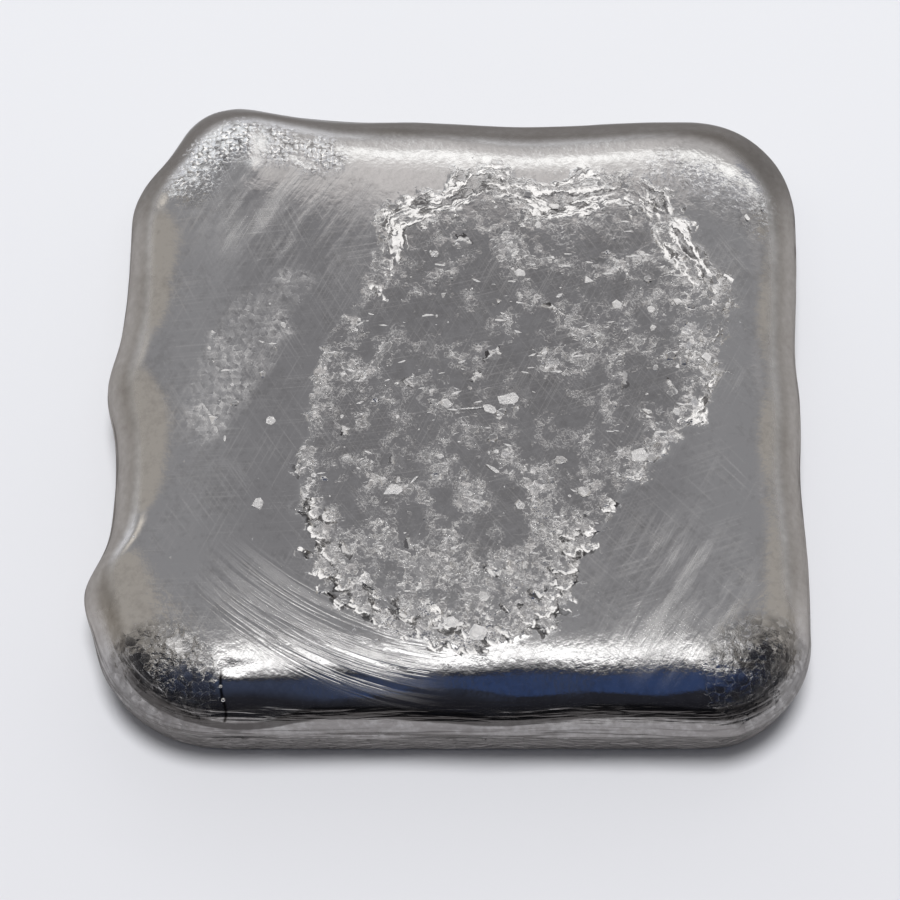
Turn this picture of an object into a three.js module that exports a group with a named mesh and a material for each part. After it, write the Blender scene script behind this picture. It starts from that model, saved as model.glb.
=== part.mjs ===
// A small square ingot of tin, poured by hand into an open iron mould and left to freeze.
//
// Millimetres, +Z up. X runs along the front edge, left to right, and Y from the front to the back.
// The origin is on the surface the ingot rests on, at the middle of its bounding box.
//
// The lower part took the shape of the mould: a flat base, a fillet and walls with draft. The upper
// part is the free surface of the melt. Molten tin doesn't wet iron, so it stood above the mouth of
// the mould, turned over in the rounded shoulder that its surface tension gives it, and curled back
// under to the mouth, where it left a crease all the way round.
import * as THREE from "three";
import { mergeVertices } from "three/addons/utils/BufferGeometryUtils.js";

// The mould
const mouthWidth = 43.4;
const mouthDepth = 41.5;
const mouldHeight = 3.4; // from its floor up to its mouth
const wallDraft = 3; // degrees that each wall leans in towards the floor
const leftSplay = 4.5; // degrees that the left wall turns out towards the front
const floorRadius = 0.7; // fillet between the walls and the floor
const cornerRadius = { backRight: 6.8, backLeft: 7.5, frontLeft: 8.2, frontRight: 6.2 };

// The free surface
const capillaryLength = 2.9; // the shoulder is 1.41 times as high as this, from its widest line up
const browSlope = 9; // degrees of slope where the top face passes into the shoulder
const creaseSlope = 122; // degrees of slope where the shoulder meets the mouth; 90 is upright
const cornerTightening = 0.6; // how much a corner's radius shrinks for each millimetre inwards
const tightestCorner = 0.2; // the share of its radius that a corner keeps, however far in

// Where the melt ran out over the mouth, or fell short of it. A bearing is in degrees round the
// ingot, from +X towards +Y; spread is the distance along the edge at which a bump fades to 37%.
const overruns = [
  { bearing: 132, reach: 1.85, spread: 5.5 }, // the ear at the back left corner
  { bearing: 135.5, reach: -1.5, spread: 3 }, // the corner beside it, cut short
  { bearing: 80, reach: -0.3, spread: 4.7 },
  { bearing: 175, reach: 0.76, spread: 2.5 },
  { bearing: 199.5, reach: -0.8, spread: 7.5 },
  { bearing: 207, reach: 1.15, spread: 1.85 }, // the lobe on the left edge
  { bearing: 12, reach: -0.33, spread: 3.3 },
  { bearing: 348.5, reach: -0.32, spread: 3.4 },
];
const overrunDepth = 6; // how far in from the edge an overrun fades to 37%
const overrunHold = 3; // how sharply the overruns die away down the mould's wall

// The crease wanders up and down by `rise`, about once in every `length` of edge.
const creaseWaves = [
  { rise: 0.14, length: 17 },
  { rise: 0.09, length: 6.5 },
];
const creaseSpread = 1.7; // how far above and below the crease its waves fade to 37%

// Swells and hollows of the top face: centre, rise and radius.
const swells = [
  { x: -14.5, y: 15.5, rise: 0.5, radius: 4 }, // inside the ear
  { x: 2, y: 1.5, rise: -0.15, radius: 12 }, // the middle froze last and sank
];

// Facets
const edgeSegments = 42; // along each side, and across the top
const shoulderSegments = 13;
const wallSegments = 3;
const filletSegments = 4;

const { abs, acosh, atan2, cos, exp, hypot, max, min, PI, round, sign, sin, sqrt, tan } = Math;
const { degToRad, lerp } = THREE.MathUtils;

// A liquid's surface against a long straight wall, where it slopes by `slope` radians: how far it
// has dropped from its level, and how far in it is from where it stands upright.
function meniscus(slope) {
  const drop = 2 * capillaryLength * sin(slope / 2);
  const reach = (d) => acosh(2 / d) - sqrt(4 - d ** 2);
  return { drop, inset: capillaryLength * (reach(drop / capillaryLength) - reach(sqrt(2))) };
}

const crease = meniscus(degToRad(creaseSlope));
const topLevel = mouldHeight + crease.drop;
const draft = degToRad(wallDraft);
const fillet = min(floorRadius, mouldHeight / 2);
const filletTop = fillet * (1 - sin(draft));
const wallInset = crease.inset + (mouldHeight - filletTop) * tan(draft);
const halfWidth = mouthWidth / 2 + crease.inset; // at the widest line
const halfDepth = mouthDepth / 2 + crease.inset;

const shares = (count, from) =>
  Array.from({ length: count + 1 - from }, (_, i) => (i + from) / count);

// The section from the brow down to the rim of the base, as insets from the widest line and heights.
const profile = [
  ...shares(shoulderSegments, 0).map((share) => {
    const { drop, inset } = meniscus(degToRad(lerp(browSlope, creaseSlope, share)));
    return { inset, z: topLevel - drop };
  }),
  ...shares(wallSegments, 1).map((share) => ({
    inset: lerp(crease.inset, wallInset, share),
    z: lerp(mouldHeight, filletTop, share),
  })),
  ...shares(filletSegments, 1).map((share) => {
    const turn = lerp(draft, PI / 2, share);
    return { inset: wallInset + fillet * (cos(draft) - cos(turn)), z: fillet * (1 - sin(turn)) };
  }),
];

// (u, v) is a point of the square from -1 to 1. The line round the square at `size` from its middle
// becomes a rounded outline, and the outermost of these is `inset` in from the widest line.
function outline(u, v, size, inset) {
  const halfX = (halfWidth - inset) * size;
  const halfY = (halfDepth - inset) * size;
  const corner = cornerRadius[(v > 0 ? "back" : "front") + (u > 0 ? "Right" : "Left")];
  const tightened = max(corner - cornerTightening * inset, corner * tightestCorner);
  const radius = min(tightened * size, halfX, halfY) * size;
  const alongX = (abs(u) / size) * halfX;
  const alongY = (abs(v) / size) * halfY;
  const centreX = min(alongX, halfX - radius);
  const centreY = min(alongY, halfY - radius);
  const length = hypot(alongX - centreX, alongY - centreY);
  const outX = (sign(u) * (alongX - centreX)) / length;
  const outY = (sign(v) * (alongY - centreY)) / length;
  const y = sign(v) * centreY + outY * radius;
  const splay = u < 0 ? 1 - (y / halfWidth) * tan(degToRad(leftSplay)) : 1;
  return { x: (sign(u) * centreX + outX * radius) * splay, y, outX, outY };
}

// How far the edge of the melt is out past the mouth.
function overrun(x, y) {
  const bearing = atan2(y, x);
  return overruns.reduce((sum, bump) => {
    const turn = bearing - degToRad(bump.bearing);
    const along = atan2(sin(turn), cos(turn)) * hypot(x, y);
    return sum + bump.reach * exp(-((along / bump.spread) ** 2));
  }, 0);
}

// How far the crease is up from the mouth. Each wave fits a whole number of times round the edge.
function creaseRise(x, y) {
  const edge = 2 * (mouthWidth + mouthDepth);
  return creaseWaves.reduce(
    (sum, { rise, length }) => sum + rise * sin(round(edge / length) * atan2(y, x) + length),
    0,
  );
}

function swell(x, y) {
  return swells.reduce(
    (sum, s) => sum + s.rise * exp(-((x - s.x) ** 2 + (y - s.y) ** 2) / s.radius ** 2),
    0,
  );
}

// Moves a point of the cube from -1 to 1 on to the ingot.
function cast(point) {
  const { x: u, y: v, z: w } = point;
  const size = max(abs(u), abs(v));
  if (size === 0) return point.set(0, 0, w > 0 ? topLevel + swell(0, 0) : 0);

  const { inset, z } = profile[round(((1 - w) / 2) * (profile.length - 1))];
  const at = outline(u, v, size, inset);
  const inward = inset + (1 - size) * (min(halfWidth, halfDepth) - inset);
  const level = topLevel - (topLevel - z) * exp((inset - inward) / capillaryLength);
  const held = min(level / mouldHeight, 1); // how free the mould's wall left the surface to move
  const push = overrun(at.x, at.y) * held ** overrunHold * exp(-((inward / overrunDepth) ** 2));
  const offCrease = (level - mouldHeight) / creaseSpread;
  const free = max(0, (level - mouldHeight) / (topLevel - mouldHeight));
  return point.set(
    at.x + at.outX * push,
    at.y + at.outY * push,
    level + creaseRise(at.x, at.y) * held * exp(-(offCrease ** 2)) + swell(at.x, at.y) * free,
  );
}

// A cube from -1 to 1. Its base is one flat face, so that is a fan of triangles from its middle.
function fannedCube() {
  const geometry = new THREE.BoxGeometry(2, 2, 2, edgeSegments, edgeSegments, profile.length - 1);
  geometry.deleteAttribute("normal");
  geometry.deleteAttribute("uv");
  const cube = mergeVertices(geometry);
  const position = cube.getAttribute("position");
  const points = Array.from(position.array);
  const middle = position.count;
  points.push(0, 0, -1);

  const corners = Array.from(cube.getIndex().array);
  const sameEdge = (a, b) =>
    [0, 1].some((axis) => {
      const at = points[3 * a + axis];
      return abs(at) === 1 && at === points[3 * b + axis];
    });
  const index = [];
  for (let i = 0; i < corners.length; i += 3) {
    const triangle = corners.slice(i, i + 3);
    if (triangle.some((corner) => points[3 * corner + 2] !== -1)) {
      index.push(...triangle);
      continue;
    }
    triangle.forEach((from, side) => {
      const to = triangle[(side + 1) % 3];
      if (sameEdge(from, to)) index.push(from, to, middle);
    });
  }
  const fanned = new THREE.BufferGeometry();
  fanned.setAttribute("position", new THREE.Float32BufferAttribute(points, 3));
  fanned.setIndex(index);
  return mergeVertices(fanned.toNonIndexed());
}

function castGeometry() {
  const geometry = fannedCube();
  const position = geometry.getAttribute("position");
  const point = new THREE.Vector3();
  for (let i = 0; i < position.count; i += 1) {
    cast(point.fromBufferAttribute(position, i));
    position.setXYZ(i, point.x, point.y, point.z);
  }
  geometry.computeBoundingBox();
  const middle = geometry.boundingBox.getCenter(new THREE.Vector3());
  geometry.translate(-middle.x, -middle.y, 0);
  geometry.computeVertexNormals();
  return geometry;
}

const tin = new THREE.MeshStandardMaterial({
  name: "cast_tin",
  color: new THREE.Color().setRGB(0.78, 0.78, 0.79, THREE.SRGBColorSpace),
  roughness: 0.25,
  metalness: 1,
});

const ingot = new THREE.Mesh(castGeometry(), tin);
ingot.name = "ingot";

const part = new THREE.Group();
part.add(ingot);

export default part;
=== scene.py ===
import functools
import math
import random
from types import SimpleNamespace

import bmesh
import bpy
import numpy as np
from bpy.props import FloatProperty, FloatVectorProperty, IntProperty, PointerProperty
from mathutils import Matrix, Vector


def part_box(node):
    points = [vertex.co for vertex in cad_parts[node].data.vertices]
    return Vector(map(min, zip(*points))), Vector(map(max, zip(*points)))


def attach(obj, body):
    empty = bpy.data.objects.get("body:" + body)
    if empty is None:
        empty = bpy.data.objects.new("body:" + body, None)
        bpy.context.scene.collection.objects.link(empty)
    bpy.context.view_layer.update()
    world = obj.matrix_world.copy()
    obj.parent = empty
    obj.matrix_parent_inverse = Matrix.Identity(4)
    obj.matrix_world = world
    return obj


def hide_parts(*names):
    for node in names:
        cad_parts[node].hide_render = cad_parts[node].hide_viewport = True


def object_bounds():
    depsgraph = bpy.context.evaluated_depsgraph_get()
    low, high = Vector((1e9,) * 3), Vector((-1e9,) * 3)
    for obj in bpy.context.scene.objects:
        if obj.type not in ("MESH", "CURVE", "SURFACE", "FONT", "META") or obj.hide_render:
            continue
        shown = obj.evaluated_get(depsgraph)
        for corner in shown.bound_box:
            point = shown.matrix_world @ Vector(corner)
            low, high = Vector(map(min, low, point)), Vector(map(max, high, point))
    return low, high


bl_info = {
    "name": "Cast tin ingot",
    "version": (1, 0, 0),
    "blender": (4, 5, 0),
    "location": "3D View > Sidebar > Ingot",
    "description": "Dresses a small cast ingot: its skin, its frost of crystals and a plain studio",
    "category": "Object",
}

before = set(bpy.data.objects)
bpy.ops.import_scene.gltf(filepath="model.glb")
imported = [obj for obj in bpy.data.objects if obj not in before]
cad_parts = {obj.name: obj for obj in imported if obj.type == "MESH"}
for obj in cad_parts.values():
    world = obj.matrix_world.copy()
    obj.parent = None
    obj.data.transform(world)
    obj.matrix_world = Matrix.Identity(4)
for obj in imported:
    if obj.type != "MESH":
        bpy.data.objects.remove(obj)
CAD_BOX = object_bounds()

MM = 0.001
PER_MM = 1000.0

# Places on the ingot, in millimetres, in the frame's axes.
MOULD_MOUTH = 3.4  # height of the crease between the mould's wall and the free surface
# The dull shoulder below this height is also darkened as painted shade
LOW_SHOULDER = 6.6  # height under which the shoulder is dull with oxide
FROST_OUTLINE = [
    (-4.3, 12.6), (0, 14.2), (2.3, 15.8), (7.3, 14.3), (12, 15), (15.5, 11.2), (17.7, 7.1),
    (17.5, 2.9), (15.8, -1.9), (12.3, -5.6), (9.4, -9.4), (7.5, -13), (4.5, -16.6), (0, -16.5),
    (-4.1, -15.2), (-7.8, -13.2), (-9, -8), (-8.8, -2), (-7.5, 3.2), (-5.2, 6.2), (-4.9, 9),
]
FAINT_OUTLINE = [
    (-9.6, 9.8), (-11.6, 6.6), (-14.8, 4.6), (-16.4, -0.5), (-15, -4), (-11.6, 0.6), (-8.8, 6.2),
]
FROST_MIDDLE = (3.8, -0.5, 0)
BARE_SPOT = (-0.5, 7.0, 8.4)  # in the frost, almost without film
WIPE_CENTRE = (2.3, 5.5, 0)  # of the arcs that a cloth left
WIPE_RADII = (21.9, 25.6)
WIPED_ARC = (-8.5, -17, 8)
WIPED_STROKES = [((14, -13.5, 8), 5.0), ((-10.5, 12.5, 8), 6.0)]  # middle, and how far they fade
CORNER_CELLS = [(-17.6, -18.6, 6.6), (19.3, -18.2, 6.6)]
# The grains have relief; their glints, sheen and the shade between them are painted
SPANGLED = [  # bright grains along the brow of the back corners
    (-16.1, 14.8, 7.7), (-15.3, 16.6, 7.7), (-13.4, 17.8, 7.5), (-11.0, 17.3, 7.6), (-8.3, 16.5, 7.6),
    (14.4, 15.3, 7.5), (16.4, 14.5, 7.5), (18.3, 13.6, 7.4), (19.7, 12.8, 7.3),
]
FISSURE_X = -13.6  # of the dark line down the front shoulder
BLISTER = (11.3, -21.4, 5.0)
DIMPLE = (-12.4, 15.4, 8.4)
DENT = (-13.1, -18.1, 7.5)
CREASED = [(1.5, -6.9, 8.3), (-3.3, -2.4, 8.3), (6.2, -8.6, 8.2), (4.6, 9.4, 8.4)]  # patches of film
# Single flakes on top: middle x and y, length and width, then turn and tip in degrees
FLAKES = [
    (3.85, -0.7, 1.6, 1.0, 15, 14), (2.66, -1.38, 1.0, 0.6, -20, 14), (1.5, -1.3, 1.9, 0.12, 5, 13),
    (-3.25, -6.78, 1.5, 1.0, 20, 13), (-2.0, -6.1, 0.9, 0.16, 45, 14), (2.9, -5.4, 1.3, 0.3, -35, 13),
    (11.98, -4.49, 1.5, 1.1, 10, 12),
    (-10.97, -2.07, 0.8, 0.65, 5, 11), (-11.61, -7.7, 0.9, 0.75, 25, 9), (-13.8, -3.3, 0.18, 0.5, 0, 14),
    (1.9, -16.0, 1.3, 1.1, 10, 12), (0.3, -15.4, 1.1, 0.8, -15, 12), (7.1, 6.4, 0.5, 0.25, 30, 14),
    (19.2, 12.3, 0.9, 0.3, -60, -12),
]
# Beads of metal: middle and radius
BEADS = [(-13.75, -19.15, 7.2, 0.13), (-13.6, -19.9, 6.85, 0.14), (20.3, 13.0, 7.2, 0.15)]
CAMERA_TARGET = (0.221, -2.338, 4.0)

# The studio, in metres
SOFT_BOX_SIZE = (0.5, 0.06)
SOFT_BOX_PLACE = (0, -0.098, 0.592)
FILL_PLACE = (0, 0.07, 0.8)
TABLE_SIZE = 10.0
FILL_SOFTNESS = math.radians(18)
# Colours of what the metal reflects
ROOM = {
    "ceiling": (0.235, 0.233, 0.243),
    "ceiling_edge": (0.287, 0.287, 0.297),
    "wall": (0.4, 0.376, 0.345),
    "skirting": (0.6, 0.58, 0.55),
    "lamp_glow": (0.9, 0.89, 0.88),
    "far_wall": (0.76, 0.73, 0.72),
    "far_side": (0.52, 0.505, 0.5),
    "strip_light": (1.4, 1.4, 1.38),
    "strip_shadow": (0.13, 0.16, 0.24),
    "window": (1.05, 1.07, 1.08),
    "curtain": (0.8, 0.75, 0.68),
    "dark_front": (0.02, 0.021, 0.027),
    "navy_cloth": (0.033, 0.056, 0.135),
    "slate_cloth": (0.043, 0.055, 0.093),
    "horizon": (0.75, 0.75, 0.77),
}


# --- node trees ------------------------------------------------------------------------------


class Field:
    """A socket that gives a number or a vector at each point. Arithmetic on it adds nodes."""

    def __init__(self, tree, socket):
        self.tree = tree
        self.socket = socket

    def is_vector(self):
        return self.socket.type in {"VECTOR", "RGBA"}

    def __add__(self, other):
        return compute(self.tree, "ADD", self, other)

    def __radd__(self, other):
        return compute(self.tree, "ADD", other, self)

    def __sub__(self, other):
        return compute(self.tree, "SUBTRACT", self, other)

    def __rsub__(self, other):
        return compute(self.tree, "SUBTRACT", other, self)

    def __mul__(self, other):
        return compute(self.tree, "MULTIPLY", self, other)

    def __truediv__(self, other):
        return compute(self.tree, "DIVIDE", self, other)

    def __neg__(self):
        return compute(self.tree, "MULTIPLY", self, -1.0)


def feed(tree, socket, value):
    """Gives an input socket a plain value or a link."""
    if isinstance(value, Field):
        tree.links.new(value.socket, socket)
    elif isinstance(value, bpy.types.NodeSocket):
        tree.links.new(value, socket)
    elif socket.type == "VECTOR" and isinstance(value, (int, float)):
        socket.default_value = (value, value, value)
    else:
        socket.default_value = value


def add_node(tree, kind, inputs=None, **settings):
    node = tree.nodes.new(kind)
    for name, value in settings.items():
        setattr(node, name, value)
    for key, value in (inputs or {}).items():
        feed(tree, node.inputs[key], value)
    return node


def compute(tree, operation, *operands):
    """One step of arithmetic, on vectors where any operand is one."""
    vector = any(
        isinstance(value, (tuple, Vector)) or (isinstance(value, Field) and value.is_vector())
        for value in operands
    )
    if not vector and operation in {"ADD", "SUBTRACT", "MULTIPLY"}:
        joined = joined_step(operation, *operands)
        if joined:
            return joined
    kind = "ShaderNodeVectorMath" if vector else "ShaderNodeMath"
    node = add_node(tree, kind, dict(enumerate(operands)), operation=operation)
    return Field(tree, node.outputs[0])


def fed_by(field):
    """What feeds the inputs of a field's node: fields and plain values."""
    return [
        Field(field.tree, socket.links[0].from_socket) if socket.is_linked else socket.default_value
        for socket in field.socket.node.inputs
    ]


def joined_step(operation, a, b):
    """A step on numbers done by one node together with the step before it; None if it can't be."""
    for field, other, turned in ((a, b, False), (b, a, True)):
        if not isinstance(field, Field):
            continue
        node = field.socket.node
        plain = not isinstance(other, Field)
        if node.type == "MAP_RANGE" and plain:
            value, low, high, *ends = fed_by(field)[:5]
            if operation == "MULTIPLY":
                ends = [end * other for end in ends]
            elif operation == "ADD":
                ends = [end + other for end in ends]
            else:
                ends = [other - end if turned else end - other for end in ends]
            return mapped(value, low, high, *ends)
        if node.type != "MATH" or node.operation != "MULTIPLY":
            continue
        first, second = fed_by(field)[:2]
        if operation == "SUBTRACT" and turned and not isinstance(second, Field):
            return multiply_add(field.tree, first, -second, other)
        if operation == "SUBTRACT" and not turned and plain:
            return multiply_add(field.tree, first, second, -other)
        if operation == "ADD":
            return multiply_add(field.tree, first, second, other)
    return None


def multiply_add(tree, a, b, c):
    node = add_node(tree, "ShaderNodeMath", {0: a, 1: b, 2: c}, operation="MULTIPLY_ADD")
    return Field(tree, node.outputs[0])


def measure(operation, a, *others):
    """A number worked out from vectors: LENGTH, DISTANCE or DOT_PRODUCT."""
    inputs = dict(enumerate((a, *others)))
    node = add_node(a.tree, "ShaderNodeVectorMath", inputs, operation=operation)
    return Field(a.tree, node.outputs["Value"])


def smooth(value, low, high):
    """Rises smoothly from 0 at low to 1 at high; falls where low is above high."""
    return mapped(value, high, low, 1.0, 0.0) if low > high else mapped(value, low, high, 0.0, 1.0)


def mapped(value, low, high, start, end):
    """Goes smoothly from start to end while the value rises from low to high."""
    inputs = {"Value": value, "From Min": low, "From Max": high, "To Min": start, "To Max": end}
    node = add_node(value.tree, "ShaderNodeMapRange", inputs, interpolation_type="SMOOTHSTEP")
    return Field(value.tree, node.outputs["Result"])


def between(value, low, high, edge):
    """1 between low and high, falling to 0 over `edge` outside them."""
    return smooth(value, low - edge, low) * smooth(value, high + edge, high)


def blend(a, b, share):
    """a where share is 0 and b where it is 1."""
    return a + (b - a) * share


def absolute(value):
    return compute(value.tree, "ABSOLUTE", value)


def lesser(a, b):
    return compute(a.tree, "MINIMUM", a, b)


def greater(a, b):
    return compute(a.tree, "MAXIMUM", a, b)


def greater_of(values):
    return functools.reduce(greater, values)


def power(value, exponent):
    return compute(value.tree, "POWER", value, exponent)


def bell(value, width):
    """A bell curve of the value, down to 37% at `width` from 0."""
    scaled = value / width
    return compute(value.tree, "POWER", math.exp(-1), scaled * scaled)


def split(vector):
    node = add_node(vector.tree, "ShaderNodeSeparateXYZ", {0: vector})
    return [Field(vector.tree, output) for output in node.outputs]


def join(tree, x, y, z):
    node = add_node(tree, "ShaderNodeCombineXYZ", {0: x, 1: y, 2: z})
    return Field(tree, node.outputs[0])


def noise(place, scale=1.0, detail=2.0, roughness=0.5, flat=False):
    """Soft noise from 0 to 1, at `scale` waves for each unit of place. Flat noise ignores z."""
    inputs = {"Vector": place, "Scale": scale, "Detail": detail, "Roughness": roughness}
    dimensions = "2D" if flat else "3D"
    node = add_node(place.tree, "ShaderNodeTexNoise", inputs, noise_dimensions=dimensions)
    return Field(place.tree, node.outputs[0])


def ridges(place, scale, detail=2.0, sharpness=2.0, flat=False):
    """Noise with crests like creased foil, from 0 to 1."""
    crests = 1.0 - absolute(noise(place, scale, detail, flat=flat) * 2.0 - 1.0)
    return power(crests, sharpness)


def scattered(place, scale):
    """From the nearest of points scattered in the plane, about 1 / scale apart: the way to the place,
    and the point's own random vector."""
    inputs = {"Vector": place, "Scale": scale}
    node = add_node(place.tree, "ShaderNodeTexVoronoi", inputs, voronoi_dimensions="2D")
    return place - Field(place.tree, node.outputs["Position"]), Field(place.tree, node.outputs["Color"])


def facets(place, scale):
    """A height made of flat facets about 1 / scale across, each sloping its own way, at most 0.7."""
    away, chance = scattered(place, scale)
    return measure("DOT_PRODUCT", (chance - 0.5) * (1, 1, 0), away)


def mix_colour(tree, a, b, share):
    node = add_node(tree, "ShaderNodeMix", data_type="RGBA", clamp_factor=True)
    feed(tree, node.inputs[0], share)
    feed(tree, node.inputs[6], a)
    feed(tree, node.inputs[7], b)
    return Field(tree, node.outputs[2])


def prune(tree):
    """Takes out the nodes that nothing uses, such as those whose steps were joined with later ones."""
    while spare := [
        node for node in tree.nodes
        if node.outputs and not any(output.is_linked for output in node.outputs)
    ]:
        for node in spare:
            tree.nodes.remove(node)


def new_group(name, kind, inputs, outputs):
    """An empty node group. Returns it with its inputs as Fields and its output node's sockets."""
    tree = bpy.data.node_groups.new(name, kind)
    for label, socket_type, default in inputs:
        socket = tree.interface.new_socket(name=label, in_out="INPUT", socket_type=socket_type)
        if default is not None:
            socket.default_value = default
    for label, socket_type in outputs:
        tree.interface.new_socket(name=label, in_out="OUTPUT", socket_type=socket_type)
    start = tree.nodes.new("NodeGroupInput")
    end = tree.nodes.new("NodeGroupOutput")
    fields = {label: Field(tree, start.outputs[label]) for label, _, _ in inputs}
    return tree, fields, end.inputs


def use_group(tree, group, inputs):
    """Places a shader group in a material and returns its outputs by name."""
    node = tree.nodes.new("ShaderNodeGroup")
    node.node_tree = group
    for label, value in inputs.items():
        feed(tree, node.inputs[label], value)
    return {output.name: Field(tree, output) for output in node.outputs}


def run_geometry_tree(obj, group, values):
    """Runs a geometry tree on an object and keeps the result as the object's plain mesh."""
    modifier = obj.modifiers.new(group.name, "NODES")
    modifier.node_group = group
    for item in group.interface.items_tree:
        if item.item_type == "SOCKET" and item.in_out == "INPUT" and item.name in values:
            modifier[item.identifier] = values[item.name]
    depsgraph = bpy.context.evaluated_depsgraph_get()
    evaluated = obj.evaluated_get(depsgraph)
    made = bpy.data.meshes.new_from_object(
        evaluated, preserve_all_data_layers=True, depsgraph=depsgraph
    )
    if not made.polygons:
        raise RuntimeError(f"{group.name} made no faces for {obj.name}")
    obj.modifiers.clear()
    obj.data = made
    made.name = obj.name


def new_object(name, data):
    """An object at the origin, in the scene."""
    made = bpy.data.objects.new(name, data)
    bpy.context.scene.collection.objects.link(made)
    return made


# --- the frost's outline ----------------------------------------------------------------------


def closed_curve(points, steps=8):
    """A smooth closed line through the points."""
    at = np.array(points, float)
    before, after, beyond = np.roll(at, 1, 0), np.roll(at, -1, 0), np.roll(at, -2, 0)
    line = []
    for share in np.arange(steps) / steps:
        line.append(
            at
            + share * (after - before) / 2
            + share**2 * (before - 2.5 * at + 2 * after - beyond / 2)
            + share**3 * (1.5 * (at - after) + (beyond - before) / 2)
        )
    return np.stack(line, 1).reshape(-1, 2)


def inside_distance(points, outline):
    """How far each point is inside a closed line; below 0 outside it."""
    start = closed_curve(outline)
    along = np.roll(start, -1, 0) - start
    offset = points[:, None] - start[None]
    share = (offset * along).sum(2) / (along * along).sum(1)
    nearest = offset - np.clip(share, 0, 1)[..., None] * along
    distance = np.sqrt((nearest**2).sum(2)).min(1)

    # A point is inside where a line from it, along +X, crosses the outline an odd number of times
    above = offset[..., 1] > 0
    crosses = above != np.roll(above, -1, 1)
    rise = np.where(along[:, 1] == 0, 1e-9, along[:, 1])
    reach = offset[..., 1] * along[:, 0] / rise - offset[..., 0]
    inside = (crosses & (reach > 0)).sum(1) % 2 == 1
    return np.where(inside, distance, -distance)


# --- the cast skin ----------------------------------------------------------------------------


# What the skin keeps at each point for the finishes to read
SKIN_MASKS = (
    "edge",  # millimetres inside the frost's ragged edge
    "depth",  # the same, from a smoother edge
    "faint",  # the faint frost beside it
    "rim",  # the crinkled rim at the back and the right
    "hem",  # the front of the frost
    "speckled",  # the grainy corners
    "arcs",  # where a cloth left arcs
    "strokes",  # where it left straight strokes
    "pitted",  # the brows at the front and the back
    "clouds",
    "clumps",  # how thick the film is
)


def ingot_shell():
    """The CAD solid as one closed mesh of four-sided faces, with the frost's outline marked."""
    bm = bmesh.new()
    bm.from_mesh(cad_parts["ingot"].data)
    bmesh.ops.remove_doubles(bm, verts=bm.verts, dist=0.002 * MM)
    bmesh.ops.join_triangles(
        bm, faces=bm.faces, angle_face_threshold=math.pi, angle_shape_threshold=math.pi
    )
    bmesh.ops.recalc_face_normals(bm, faces=bm.faces)
    mesh = bpy.data.meshes.new("ingot_shell")
    bm.to_mesh(mesh)
    bm.free()
    mesh.polygons.foreach_set("use_smooth", [True] * len(mesh.polygons))
    places = np.array([vertex.co[:2] for vertex in mesh.vertices]) * PER_MM
    for name, outline in (("frost", FROST_OUTLINE), ("faint_frost", FAINT_OUTLINE)):
        attribute = mesh.attributes.new(name, "FLOAT", "POINT")
        attribute.data.foreach_set("value", inside_distance(places, outline).astype(np.float32))
    return mesh


def named_attribute(tree, name):
    node = add_node(tree, "GeometryNodeInputNamedAttribute", {"Name": name}, data_type="FLOAT")
    return Field(tree, node.outputs["Attribute"])


def store(tree, geometry, name, value, domain="POINT"):
    """Keeps a field on the geometry, for the finishes to read."""
    node = add_node(
        tree, "GeometryNodeStoreNamedAttribute",
        {"Geometry": geometry, "Name": name, "Value": value},
        data_type="FLOAT", domain=domain,
    )
    return node.outputs[0]


def finished(tree, geometry, material, result):
    """The tree, with its geometry made real, given its material and put out."""
    realized = add_node(tree, "GeometryNodeRealizeInstances", {"Geometry": geometry})
    painted = add_node(tree, "GeometryNodeSetMaterial",
                       {"Geometry": realized.outputs[0], "Material": material})
    tree.links.new(painted.outputs[0], result[0])
    prune(tree)
    return tree


def point_position(tree):
    return Field(tree, tree.nodes.new("GeometryNodeInputPosition").outputs[0])


def near(place, centre, radius, edge):
    """1 within `radius` of a point, falling to 0 over `edge`."""
    return smooth(measure("DISTANCE", place, centre), radius + edge, radius)


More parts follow.
